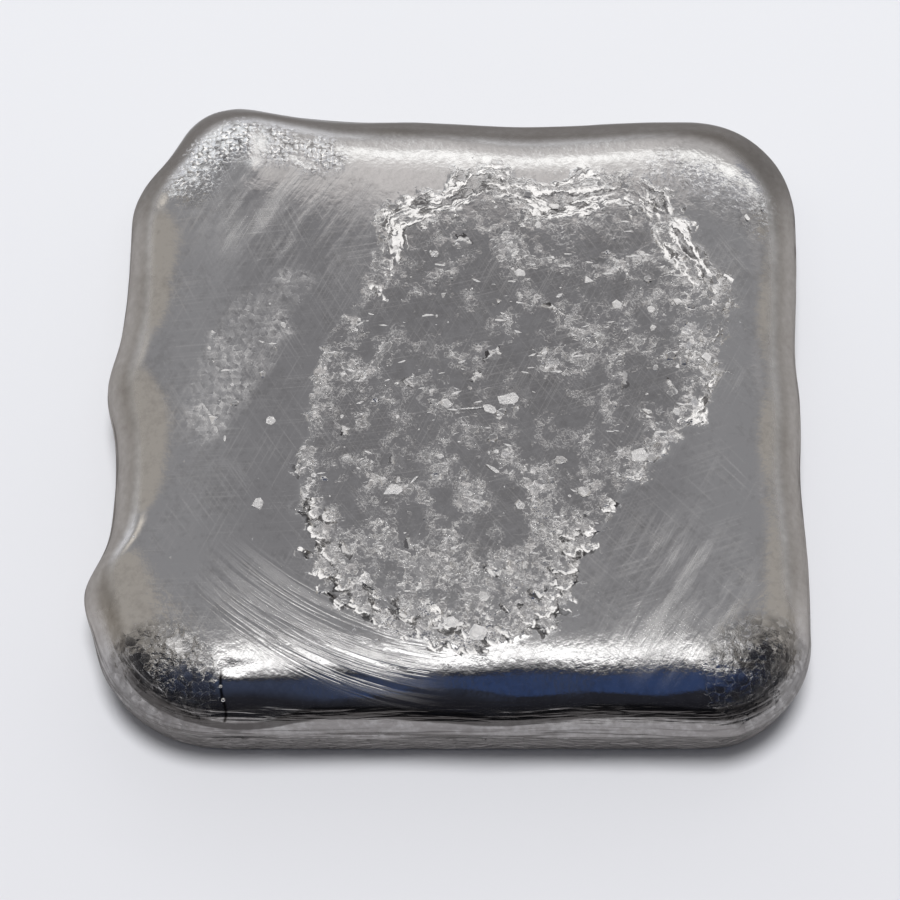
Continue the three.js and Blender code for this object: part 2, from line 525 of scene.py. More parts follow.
def skin_tree():
    """Geometry nodes that divide the shell finely and work the casting's relief into it."""
    tree, given, result = new_group(
        "Cast skin", "GeometryNodeTree",
        [
            ("Geometry", "NodeSocketGeometry", None),
            ("Levels", "NodeSocketInt", 2),
            ("Crust Rise", "NodeSocketFloat", 0.03 * MM),
            ("Rim Crinkle", "NodeSocketFloat", 0.07 * MM),
            ("Shoulder Waves", "NodeSocketFloat", 0.6 * MM),
            ("Fold Depth", "NodeSocketFloat", 0.07 * MM),
            ("Wall Crumple", "NodeSocketFloat", 0.22 * MM),
            ("Lowest Corner", "NodeSocketVector", None),
            ("Highest Corner", "NodeSocketVector", None),
            ("Material", "NodeSocketMaterial", None),
        ],
        [("Geometry", "NodeSocketGeometry")],
    )
    divided = add_node(tree, "GeometryNodeSubdivisionSurface",
                       {"Mesh": given["Geometry"], "Level": given["Levels"]})
    position = point_position(tree)
    normal = Field(tree, tree.nodes.new("GeometryNodeInputNormal").outputs[0])
    place = position * PER_MM
    x, y, z = split(place)

    bays = (noise(place, 0.42, 2.0) - 0.5) * 3.2
    teeth = (noise(place, 1.7, 2.0) - 0.5) * 1.4
    depth = named_attribute(tree, "frost") + bays * 0.25
    edge = named_attribute(tree, "frost") + bays + teeth
    faint = smooth(named_attribute(tree, "faint_frost") + bays + teeth, -0.2, 0.9)
    at_back = smooth(y, 4.0, 10.0)
    at_right = smooth(x, 8.0, 12.0)
    patchy = smooth(noise(place, 0.22, 1.0), 0.42, 0.62)
    rim = bell(edge - 0.5 - at_back * 0.8, 0.4 + at_back * 0.9)
    rim = rim * greater(at_back, at_right * 0.7) * (0.35 + patchy * 0.65)
    bare = near(place, BARE_SPOT, 3.0, 5.0)
    clumps = noise(place, 0.55, 3.0, 0.6) + bell(edge - 0.8, 1.2) * 0.06 - bare * 0.08
    creased = greater_of([near(place, centre, 0.8, 1.0) for centre in CREASED])
    clumps = clumps + smooth(y, -8.0, -12.0) * 0.11 + creased * 0.12
    crust = smooth(edge, -0.1, 0.3) * given["Crust Rise"]
    crinkle = rim * (ridges(place, 0.9, 3.0) - 0.3) * given["Rim Crinkle"]

    on_shoulder = smooth(z, 3.6, 4.6) * smooth(z, 7.9, 6.9)
    swing = noise(place * (0.09, 0.09, 0.4) + 3.0, 1.0, 1.0) - 0.55
    ends = smooth(absolute(y), 14.0, 18.0)
    waves = swing * on_shoulder * (0.25 + ends * 0.75) * given["Shoulder Waves"]
    low = between(z, MOULD_MOUTH, 5.2, 0.7)
    folds = -ridges(place * (0.12, 0.12, 1.5), 1.0, 2.0, 4.0) * low * given["Fold Depth"]

    on_wall = between(z, 0.5, MOULD_MOUTH - 0.1, 0.4)
    lumps = noise(place * (0.8, 0.8, 1.6), 1.0, 4.0, 0.6) - 0.75
    crumple = lumps * on_wall * given["Wall Crumple"]

    blister = bell(measure("LENGTH", (place - BLISTER) * (0.8, 1.0, 2.0)), 0.7) * 0.08 * MM
    dimple = bell(measure("LENGTH", place - DIMPLE), 0.4) * 0.1 * MM
    dent = bell(measure("LENGTH", (place - DENT) * (0.5, 1.5, 1.5)), 0.6) * -0.05 * MM

    height = crust + crinkle + waves + folds + crumple + blister + dimple + dent
    moved = position + normal * height
    kept = greater(lesser(moved, given["Highest Corner"]), given["Lowest Corner"])
    worked = add_node(tree, "GeometryNodeSetPosition",
                      {"Geometry": divided.outputs[0], "Position": kept})

    hem = smooth(y, -7.0, -10.5)
    speckled = greater_of([near(place, centre, 3.4, 0.6) for centre in CORNER_CELLS]) * 0.65
    spangled = greater_of([near(place, centre, 0.9, 1.5) for centre in SPANGLED])
    spangled = spangled * smooth(noise(place, 0.8, 2.0), 0.3, 0.48)
    speckled = greater(speckled, spangled * (1.0 - at_right * 0.5))
    around = measure("LENGTH", (place - WIPE_CENTRE) * (1, 1, 0))
    arcs = between(around, *WIPE_RADII, 1.2) * near(place, WIPED_ARC, 4.5, 5.0)
    strokes = greater_of([near(place, centre, 2.0, fade) for centre, fade in WIPED_STROKES])
    right_brow, left_brow = smooth(x, 4.0, 9.0) * 0.5, smooth(x, -11.0, -14.0) * 0.6
    pitted = between(y, -18.2, -14.0, 1.4) * (0.25 + right_brow + left_brow)
    pitted = pitted + between(y, 13.5, 17.5, 1.5) * 0.6
    geometry = worked.outputs[0]
    clouds = noise(place, 0.3, 4.0, 0.6)
    masks = (edge, depth, faint, rim, hem, speckled, arcs, strokes, pitted, clouds, clumps)
    for name, value in zip(SKIN_MASKS, masks, strict=True):
        geometry = store(tree, geometry, name, value)
    return finished(tree, geometry, given["Material"], result)


# --- the frost's crystals ---------------------------------------------------------------------


def random_value(tree, low, high, seed):
    node = add_node(tree, "FunctionNodeRandomValue", data_type="FLOAT")
    feed(tree, node.inputs[2], low)
    feed(tree, node.inputs[3], high)
    feed(tree, node.inputs["Seed"], seed)
    return Field(tree, node.outputs[1])


def plate_shapes(tree, sides, flat, thickness):
    """Thin plates with a sloping rim, one shape for each number of sides, to pick from.

    They are 1 across at the foot; `flat` is the radius of the top."""
    shapes = tree.nodes.new("GeometryNodeGeometryToInstance")
    for count in sides:
        plate = add_node(tree, "GeometryNodeMeshCone", {
            "Vertices": count, "Side Segments": 1, "Fill Segments": 1,
            "Radius Top": flat, "Radius Bottom": 0.5, "Depth": thickness,
        })
        tree.links.new(plate.outputs["Mesh"], shapes.inputs[0])
    return shapes.outputs[0]


def strewn(tree, surface, density, share, spacing, seed):
    """Random points on a surface, at least `spacing` apart."""
    return add_node(tree, "GeometryNodeDistributePointsOnFaces", {
        "Mesh": surface, "Distance Min": spacing,
        "Density Max": density * 1e6, "Density Factor": share, "Seed": seed,
    }, distribute_method="POISSON")


def laid_on(tree, points, lean, roll, turn, forward):
    """A lean, a roll and a turn, then a tip by the surface's slope and by `forward`, to the front."""
    x_slope, y_slope, _ = split(Field(tree, points.outputs["Normal"]))
    turned = add_node(tree, "FunctionNodeEulerToRotation", {0: join(tree, lean, roll, turn)})
    laid = add_node(tree, "FunctionNodeRotateRotation", rotation_space="GLOBAL")
    tree.links.new(turned.outputs[0], laid.inputs["Rotation"])
    tree.links.new(join(tree, forward - y_slope, x_slope, 0.0).socket, laid.inputs["Rotate By"])
    return laid.outputs[0]


def placed(tree, points, shapes, rotation, extent):
    """One of the shapes, picked at random, on each point."""
    node = add_node(tree, "GeometryNodeInstanceOnPoints", {
        "Points": points, "Instance": shapes, "Pick Instance": True,
        "Rotation": rotation, "Scale": extent,
    })
    return node.outputs[0]


def jagged(tree, geometry, place, highest, amount):
    """Makes instances real and uneven, and keeps them under the highest point allowed."""
    realized = add_node(tree, "GeometryNodeRealizeInstances", {"Geometry": geometry})
    wobble = add_node(tree, "ShaderNodeTexNoise", {"Vector": place, "Scale": 2.6, "Detail": 1.5})
    offset = (Field(tree, wobble.outputs[1]) - 0.5) * (amount, amount, amount * 0.05)
    moved = lesser(point_position(tree) + offset, highest)
    shaped = add_node(tree, "GeometryNodeSetPosition",
                      {"Geometry": realized.outputs[0], "Position": moved})
    shaded = add_node(tree, "GeometryNodeSetShadeSmooth",
                      {"Geometry": shaped.outputs[0], "Shade Smooth": False})
    return shaded.outputs[0]


def crystal_tree():
    """Geometry nodes that strew the frosted patch with loose plates."""
    tree, given, result = new_group(
        "Frost crystals", "GeometryNodeTree",
        [
            ("Geometry", "NodeSocketGeometry", None),
            ("Density", "NodeSocketFloat", 5.0),
            ("Shortest", "NodeSocketFloat", 0.16 * MM),
            ("Longest", "NodeSocketFloat", 0.9 * MM),
            ("Tilt", "NodeSocketFloat", math.radians(11)),
            ("Seed", "NodeSocketInt", 4),
            ("Highest Corner", "NodeSocketVector", None),
            ("Material", "NodeSocketMaterial", None),
        ],
        [("Geometry", "NodeSocketGeometry")],
    )
    place = point_position(tree) * PER_MM
    _, _, z = split(place)
    edge = named_attribute(tree, "edge")
    faint = named_attribute(tree, "faint")
    clumps = smooth(named_attribute(tree, "clumps"), 0.5, 0.6)
    on_top = smooth(z, 7.4, 7.7)

    # Loose plates. Some lie tipped towards the front, and some of those are mere slivers.
    hem = named_attribute(tree, "hem")
    share = smooth(edge, 0.0, 0.4) * (0.12 + clumps * 0.5) * (1.0 - hem * 0.6) + faint * 0.12
    points = strewn(tree, given["Geometry"], given["Density"], share * on_top, 0.2 * MM, given["Seed"])
    chance = random_value(tree, 0.0, 1.0, 11)
    tipped = smooth(random_value(tree, 0.0, 1.0, 12), 0.5, 0.51)
    sliver = tipped * smooth(random_value(tree, 0.0, 1.0, 13), 0.3, 0.31)
    size = blend(given["Shortest"], given["Longest"], power(chance, 4.0 - sliver * 2.5))
    width = size * blend(random_value(tree, 0.5, 1.0, 14), 0.2, sliver)
    extent = join(tree, size, width, width)
    loose = given["Tilt"] * (1.0 - tipped * 0.8)
    turn = random_value(tree, -math.pi, math.pi, 15) * (1.0 - sliver * 0.85)
    forward = tipped * random_value(tree, math.radians(13), math.radians(17), 16)
    rotation = laid_on(
        tree, points, random_value(tree, -1.0, 1.0, 17) * loose,
        random_value(tree, -1.0, 1.0, 18) * loose, turn, forward,
    )
    shapes = plate_shapes(tree, (3, 4, 5, 6, 7), 0.38, 0.05)
    plates = placed(tree, points.outputs["Points"], shapes, rotation, extent)
    tone = greater(random_value(tree, 0.0, 1.0, 19), sliver)
    plates = store(tree, plates, "tone", tone, "INSTANCE")
    plates = jagged(tree, plates, place, given["Highest Corner"], 0.22 * MM)

    return finished(tree, plates, given["Material"], result)


# --- single flakes and beads ------------------------------------------------------------------


def add_flake(bm, tone, centre, length, width, turn, tip, chance):
    """A thin plate with an uneven outline, tipped towards the front."""
    spin = Matrix.Rotation(tip, 4, "X") @ Matrix.Rotation(turn, 4, "Z")
    corners = []
    for number in range(7):
        bearing = (number + chance.uniform(-0.35, 0.35)) / 7 * 2 * math.pi
        reach = chance.uniform(0.65, 1.1) / 2
        corners.append((math.cos(bearing) * reach * length, math.sin(bearing) * reach * width))
    rings = []
    for level in (0.04, -0.04):  # the two faces, in millimetres
        ring = [bm.verts.new(centre + spin @ Vector((x, y, level))) for x, y in corners]
        rings.append(ring)
    top, bottom = rings
    faces = [bm.faces.new(top), bm.faces.new(bottom[::-1])]
    for number in range(7):
        after = (number + 1) % 7
        faces.append(bm.faces.new((top[number], bottom[number], bottom[after], top[after])))
    for vertex in top + bottom:
        vertex.co.z = min(vertex.co.z, CAD_BOX[1][2] * PER_MM)
        vertex[tone] = chance.uniform(0.6, 1.0)


def stray_mesh(skin_mesh):
    """The single flakes on the skin, and the beads, in metres."""
    places = np.array([vertex.co for vertex in skin_mesh.vertices]) * PER_MM
    upper = places[places[:, 2] > 7.0]
    chance = random.Random(3)
    bm = bmesh.new()
    tone = bm.verts.layers.float.new("tone")
    for x, y, length, width, turn, tip in FLAKES:
        nearest = np.argmin(np.hypot(upper[:, 0] - x, upper[:, 1] - y))
        centre = Vector((x, y, upper[nearest, 2] + 0.03))
        add_flake(bm, tone, centre, length, width, math.radians(turn), math.radians(tip), chance)
    for x, y, z, radius in BEADS:
        at = Matrix.Translation((x, y, z)) @ Matrix.Scale(0.7, 4, (0, 0, 1))
        for vertex in bmesh.ops.create_icosphere(bm, subdivisions=2, radius=radius, matrix=at)["verts"]:
            vertex[tone] = 0.2
            for face in vertex.link_faces:
                face.smooth = True
    bmesh.ops.scale(bm, vec=(MM, MM, MM), verts=bm.verts)
    mesh = bpy.data.meshes.new("stray_flakes")
    bm.to_mesh(mesh)
    bm.free()
    return mesh


# --- finishes ---------------------------------------------------------------------------------


def hairlines_group():
    """Fine scratches, straight or nearly so, in three directions, broken and uneven."""
    tree, given, result = new_group(
        "Hairline scratches", "ShaderNodeTree",
        [
            ("Place", "NodeSocketVector", None),
            ("Length", "NodeSocketFloat", 6.0),
            ("Width", "NodeSocketFloat", 0.06),
            ("Amount", "NodeSocketFloat", 0.0),
        ],
        [("Mask", "NodeSocketFloat")],
    )
    x, y, _ = split(given["Place"])
    found = None
    for number, turn in enumerate((0.2, 1.1, 2.2)):
        along = x * math.cos(turn) + y * math.sin(turn)
        across = y * math.cos(turn) - x * math.sin(turn) + along * along * 0.006 * (number - 1)
        spot = join(tree, along / given["Length"] + 9.0 * number, across / given["Width"], 0.0)
        line = smooth(noise(spot, 1.0, 0.0, flat=True) + given["Amount"], 0.7, 0.8)
        found = line if found is None else greater(found, line)
    tree.links.new(found.socket, result[0])
    return tree


def tin_tone_group():
    """Tin's colour, clouded a little and duller under oxide. The skin also darkens it as painted shade.
    """
    tree, given, result = new_group(
        "Tin tone", "ShaderNodeTree",
        [
            ("Place", "NodeSocketVector", None),
            ("Bright", "NodeSocketColor", (0.7, 0.7, 0.7, 1)),
            ("Oxide", "NodeSocketColor", (0.35, 0.34, 0.33, 1)),
            ("Dullness", "NodeSocketFloat", 0.0),
        ],
        [("Color", "NodeSocketColor")],
    )
    clouds = noise(given["Place"], 0.9, 3.0, 0.65) - 0.5
    share = given["Dullness"] + clouds * 0.4
    colour = mix_colour(tree, given["Bright"], given["Oxide"], share)
    tree.links.new(colour.socket, result[0])
    return tree


def bumped(tree, height):
    """The normal of relief whose height is in millimetres."""
    node = add_node(tree, "ShaderNodeBump", {"Height": height, "Distance": MM, "Strength": 1.0})
    return node.outputs["Normal"]


def object_place(tree):
    """The place on the piece, in millimetres."""
    coordinates = tree.nodes.new("ShaderNodeTexCoord")
    return Field(tree, coordinates.outputs["Object"]) * PER_MM


def surface_value(tree, name):
    node = add_node(tree, "ShaderNodeAttribute", attribute_name=name)
    return Field(tree, node.outputs["Fac"])


def wipe_marks(tree, place, arcs, strokes):
    """Streaks left by wiping, from 0 to 1: in arcs and in straight strokes."""
    x, y, _ = split(place - WIPE_CENTRE)
    radius = measure("LENGTH", (place - WIPE_CENTRE) * (1, 1, 0))
    bearing = compute(tree, "ARCTAN2", y, x)
    curved = ridges(join(tree, radius * 2.6, bearing * 1.8, 0.0), 1.0, 3.0, 2.0, flat=True)
    turn = math.radians(55)
    along = x * math.cos(turn) + y * math.sin(turn)
    across = y * math.cos(turn) - x * math.sin(turn)
    straight = noise(join(tree, across * 0.7, along * 0.12, 0.0), 1.0, 4.0, 0.7, flat=True)
    return greater(smooth(curved, 0.55, 1.0) * arcs * 0.9, smooth(straight, 0.4, 0.75) * strokes * 1.2)


def new_material(name):
    """An empty material, and its node tree."""
    material = bpy.data.materials.new(name)
    material.use_nodes = True
    material.node_tree.nodes.clear()
    return material, material.node_tree


def tin_colour(tree, tone, settings, place, dullness):
    return use_group(tree, tone, {
        "Place": place, "Dullness": dullness,
        "Bright": (*settings.metal_colour, 1), "Oxide": (*settings.oxide_colour, 1),
    })["Color"]


def add_tin(tree, settings, colour, metallic, roughness, height):
    """The shader of tin, with relief in millimetres."""
    shader = add_node(tree, "ShaderNodeBsdfPrincipled", {
        "Base Color": colour, "Metallic": metallic, "Roughness": roughness,
        "Specular Tint": (*settings.edge_tint, 1), "Normal": bumped(tree, height),
    })
    output = tree.nodes.new("ShaderNodeOutputMaterial")
    tree.links.new(shader.outputs[0], output.inputs["Surface"])
    prune(tree)


def skin_surface(tree):
    """Places on the skin, in millimetres, and the masks that its finish is made from."""
    place = object_place(tree)
    x, y, z = split(place)
    masks = {name: surface_value(tree, name) for name in SKIN_MASKS}
    grain = noise(place, 2.2, 3.0, 0.6)
    at_rear = smooth(y, 11.0, 17.0)
    beside = smooth(absolute(x), 17.0, 19.5)
    return SimpleNamespace(
        tree=tree, place=place, x=x, y=y, z=z, grain=grain, at_rear=at_rear, beside=beside,
        on_wall=smooth(z, MOULD_MOUTH + 0.1, MOULD_MOUTH - 0.25),
        low=smooth(z - at_rear * 0.35 - beside * 0.1, LOW_SHOULDER + 0.35, LOW_SHOULDER - 0.25),
        inside=smooth(masks["edge"] + (grain - 0.5) * 1.2, 0.0, 0.12),
        **masks,
    )


def painted_shade_and_folds(skin):
    """Painted shade on the skin: darker at the back of the low shoulder and in the crease, the lap line,
    the pits, the folds and the fissure, with a painted dark reflection along the front shoulder. Also
    gives the folds and the crease as relief.
    """
    x, y, z, grain, clouds = skin.x, skin.y, skin.z, skin.grain, skin.clouds
    closeness = 0.11 + skin.on_wall * 0.8
    folds = ridges(skin.place * join(skin.tree, closeness, closeness, 2.0), 1.0, 3.0, 3.0)
    crease = bell(z - MOULD_MOUTH + (grain - 0.5) * 0.8, 0.13)
    lap = bell(z - 4.1 + (clouds - 0.5) * 1.6, 0.05) * smooth(grain, 0.42, 0.5) * smooth(y, -15.0, -18.0)
    pits = smooth(grain, 0.62, 0.7) * skin.on_wall
    # Painted shade: the back of the low shoulder, the crease, the lap line and the wall's pits
    darkness = skin.low * skin.at_rear * 0.5 + crease * 0.75 + lap * 0.6 + pits * 0.7
    # Painted shade in the folds
    folded = smooth(folds, 0.6, 0.9) * smooth(z, 5.6, 4.9)
    folded = folded * blend(1.0, smooth(clouds, 0.42, 0.6) * 0.6, skin.on_wall)

    # Painted shade: a dark line down the front shoulder, along the fissure
    swerve = compute(skin.tree, "SINE", (6.8 - z) * 3.0) * 0.15
    fissure = bell(x - FISSURE_X - swerve, 0.1) * between(z, 5.9, 7.4, 0.2) * smooth(y, -15.0, -16.0)
    sway = compute(skin.tree, "COSINE", (x + 6.6) * 0.35) * 0.2
    # A painted dark reflection: a black band along the front shoulder, where it reflects the dark front
    dark_reflection_line = 5.95 + sway - bell(x + 12.5, 2.6) * 0.6 + (clouds - 0.5) * 0.5
    painted_dark_reflection = between(z - dark_reflection_line, 0.0, 0.45, 0.15) * smooth(y, -16.5, -18.5)
    painted_dark_reflection = painted_dark_reflection * smooth(absolute(x), 21.0, 19.0) * 0.75
    return greater(darkness + folded * 0.55, greater(fissure, painted_dark_reflection)), folds, crease


def film_shreds(skin):
    """The thin oxide film on the frost: thick and thin shreds, the haze beside it, and its creases."""
    clumps = skin.clumps + (skin.grain - 0.5) * 0.35
    return SimpleNamespace(
        thick=smooth(clumps, 0.57, 0.61) * skin.inside,
        thin=smooth(clumps, 0.46, 0.52) * skin.inside,
        haze=skin.faint * (smooth(clumps, 0.38, 0.54) * 0.65 + 0.35),
        facets=facets(skin.place + (skin.grain - 0.5) * (0.6, -0.5, 0.0), 2.0),
        creases=bell(skin.grain - 0.52, 0.02),
    )


def crust_lobes(skin, outward, unevenness):
    """The overlapping lobes that the crust ends in at the front, with a painted highlight on each lobe's
    front lip and a painted shadow in the gap beyond it.
    """
    away, chance = scattered(skin.place + (skin.grain - 0.5) * (0.9, -0.7, 0.0), 1.0)
    odds, extent, _ = split(chance)
    forward = measure("DOT_PRODUCT", away, compute(skin.tree, "NORMALIZE", outward))
    within = skin.edge + forward
    whole = smooth(odds + skin.hem * smooth(within, 3.0, 0.9), 0.95, 1.0) * smooth(within, -0.1, 0.0)
    reach = measure("LENGTH", away * (1, 1, 0)) + extent * 0.12 + unevenness * 1.1
    front = smooth(reach, 0.14, 0.39) * smooth(forward + (skin.grain - 0.5) * 0.4, -0.1, 0.16)
    # Painted highlight along each lobe's front lip
    painted_edge_highlight = whole * front * smooth(reach, 0.52, 0.46) * (0.5 + smooth(within, 2.4, 0.6) * 0.5)
    # Painted shadow in the gap beyond each lobe's front
    gap = whole * smooth(reach, 0.47, 0.56) * smooth(forward, -0.25, 0.05) * smooth(skin.edge, -0.4, 0.0)
    top = whole * smooth(reach, 0.5, 0.44)
    return SimpleNamespace(front=whole * front, painted_edge_highlight=painted_edge_highlight, gap=gap, top=top)


def crust_strands(skin, outward, unevenness):
    """The wavy strands that the crust ends in at the back: their waves, and how much they show."""
    out_x, out_y, _ = split(outward)
    bearing = compute(skin.tree, "ARCTAN2", out_y, out_x)
    ruffled = skin.depth + (skin.grain - 0.5) * 0.7
    waves = noise(join(skin.tree, ruffled * 1.6, bearing * 5.0, 0.0), 1.0, 2.5, flat=True) - 0.5
    return waves, smooth(skin.rim + unevenness, 0.2, 0.4)


def cast_tin_material(settings, hairlines, tone):
    """The skin's tin: bright on top, frosted in the patch, dull and folded down the shoulder."""
    material, tree = new_material("cast_tin")
    skin = skin_surface(tree)
    y, z, grain, clouds, inside = skin.y, skin.z, skin.grain, skin.clouds, skin.inside
    low, beside, on_wall, at_rear = skin.low, skin.beside, skin.on_wall, skin.at_rear
    scratch = use_group(tree, hairlines, {
        "Place": skin.place,
        "Amount": (clouds - 0.5) * 0.5 - smooth(z, 7.8, 6.8) - skin.arcs * 0.2,
    })["Mask"]
    wiped = wipe_marks(tree, skin.place, skin.arcs, skin.strokes)
    darkness, folds, crease = painted_shade_and_folds(skin)
    film = film_shreds(skin)
    outward = (skin.place - FROST_MIDDLE) * (1, 1, 0)
    lobes = crust_lobes(skin, outward, film.facets)
    waves, stranded = crust_strands(skin, outward, film.facets)
    grit = facets(skin.place, 3.4)
    # Painted glints, a painted sheen and painted shade on the back brows' grains, and painted shade
    # between the front corners' cells
    painted_glint_area = skin.speckled * at_rear
    painted_cell_shade = skin.speckled - painted_glint_area

    # The metal's colour, from bright to dull with oxide and painted shade, then tarnished, given a
    # painted sheen and darkened with painted shade and shadow
    # Duller low shoulder and wall: real oxide, made darker as painted shade so that they reflect the pale
    # table as darkly as a shaded one, less so at the left and right
    dullness = low * (0.9 - beside * 0.22) + (clouds - 0.45) * 0.7 + (grain - 0.5) * 0.8
    dullness = dullness + on_wall * 0.35 + inside * 0.2
    colour = tin_colour(tree, tone, settings, skin.place, dullness)
    # Painted shadows: beyond the lobes, in the strands' troughs, between the grains on the back brows and
    # between the front corners' cells
    painted_shadows = greater(lobes.gap, between(waves, -0.1, -0.06, 0.025) * stranded * 0.85)
    painted_shadows = greater(painted_shadows * 0.85, painted_glint_area * smooth(grit, -0.01, -0.07) * 0.6)
    darkness = greater(greater(darkness, painted_shadows), painted_cell_shade * smooth(film.facets, 0.12, -0.08) * 0.6)
    tarnish = low * smooth(y, -18.0, -14.0) * 0.6
    colour = mix_colour(tree, colour, (*settings.tarnish_colour, 1), tarnish)
    # A painted sheen: a cool bright tint on the grains of the back brows
    painted_sheen = painted_glint_area * smooth(grit, -0.03, 0.05) * 0.5
    colour = mix_colour(tree, colour, (*settings.painted_sheen_colour, 1), painted_sheen)
    colour = mix_colour(tree, colour, (*settings.painted_shade_colour, 1), darkness)

    # Pale matt oxide, which covers the metal, and painted highlights
    # Painted highlights: the lobes' lips and the strands' crests
    painted_edge_highlight = greater(lobes.painted_edge_highlight, smooth(bell(waves - 0.02, 0.05), 0.3, 0.7) * stranded)
    # The thick film and the crinkled rim are paler; the rim's paleness is partly a painted reflection of
    # the bright back
    white = (film.thick * 0.75 + skin.rim * 0.6) * (smooth(film.facets, -0.02, 0.14) * 0.36 + 0.06)
    # Thin bright crease lines in the film, painted as highlights
    white = white + film.thin * film.creases * 0.26
    white = white + lobes.top * 0.06 + scratch * 0.06
    # The faint haze, with painted highlights on its crease lines
    white = white + film.haze * (smooth(film.facets, -0.15, 0.2) * 0.3 + film.creases * 0.15)
    white = white + wiped * 0.15
    # Painted highlights: the lips, the crests and the glints on the back brows
    white = greater(white, greater(painted_edge_highlight * 0.85, painted_glint_area * smooth(grit, 0.01, 0.05) * 0.75))
    pale = greater(white * 2.0, film.thin * 0.15)
    colour = mix_colour(tree, colour, (*settings.film_colour, 1), pale)

    # Relief finer than the mesh, in millimetres
    height = grain * (
        0.007 + inside * 0.003 + skin.pitted * 0.012 + on_wall * 0.05 + skin.speckled * 0.06
    )
    height = height - lobes.front * 0.06 + bell(waves, 0.1) * stranded * 0.05
    height = height + film.thick * 0.012 + wiped * 0.009
    creased = film.thick * 0.28 + film.thin * 0.08 + skin.faint * 0.04 + skin.rim * 0.12
    height = height + creased * film.facets
    height = height + skin.speckled * 0.2 * blend(film.facets, grit, at_rear)
    height = height - folds * (low * smooth(y, -15.0, -18.0) * 0.03 + on_wall * 0.09) - crease * 0.1

    roughness = 0.05 + clouds * 0.06 + scratch * 0.1 + inside * 0.02 + film.thick * 0.07
    roughness = roughness + wiped * 0.15 + low * 0.1 + on_wall * 0.15
    roughness = roughness + beside * smooth(z, 7.3, 6.8) * smooth(y, -15.0, -12.0) * 0.25
    roughness = roughness + skin.speckled * (0.15 - at_rear * 0.13)
    roughness = roughness + skin.pitted * 0.03 + (grain - 0.5) * 0.12
    add_tin(tree, settings, colour, 1.0 - white, roughness, height)
    return material


def crystal_material(settings, hairlines, tone):
    """The crystals' tin: each plate has its own brightness and grain."""
    material, tree = new_material("tin_crystals")
    place = object_place(tree)
    chance = surface_value(tree, "tone")
    scratch = use_group(tree, hairlines, {"Place": place})["Mask"]
    grain = noise(place, 4.0, 2.0)
    colour = tin_colour(tree, tone, settings, place, 0.2 - chance * 0.3)
    colour = mix_colour(tree, colour, (*settings.film_colour, 1), chance * (0.35 + grain * 0.5))
    metallic = 1.0 - smooth(chance, 0.4, 1.0) * 0.5
    height = grain * 0.03 + facets(place, 2.5) * 0.2 - scratch * 0.003
    add_tin(tree, settings, colour, metallic, 0.12 + chance * 0.18, height)
    return material


# --- the studio -------------------------------------------------------------------------------


def look_at(obj, target):
    obj.rotation_euler = (Vector(target) - obj.location).to_track_quat("-Z", "Y").to_euler()


def studio_camera(stage):
    """A long lens above the front edge."""
    data = bpy.data.cameras.new("camera")
    data.sensor_width = 36.0
    data.lens = stage.lens
    camera = new_object("camera", data)
    target = Vector(CAMERA_TARGET) * MM
    elevation = stage.camera_elevation
    away = Vector((0, -math.cos(elevation), math.sin(elevation)))
    camera.location = target + away * stage.camera_distance
    look_at(camera, target)
    data.clip_start = 0.01
    bpy.context.scene.camera = camera


def studio_floor(stage):
    """A wide pale table top."""
    mesh = bpy.data.meshes.new("floor")
    bm = bmesh.new()
    bmesh.ops.create_grid(bm, x_segments=1, y_segments=1, size=TABLE_SIZE)
    bm.to_mesh(mesh)
    bm.free()
    floor = new_object("floor", mesh)
    material = bpy.data.materials.new("pale_table")
    material.use_nodes = True
    tree = material.node_tree
    shader = tree.nodes["Principled BSDF"]
    shader.inputs["Roughness"].default_value = 0.8
    shader.inputs["Specular IOR Level"].default_value = 0.0
    _, y, _ = split(object_place(tree))
    shade = smooth(y, -35.0, 35.0)
    colour = mix_colour(tree, (*stage.floor_near, 1), (*stage.floor_far, 1), shade)
    feed(tree, shader.inputs["Base Color"], colour)
    mesh.materials.append(material)


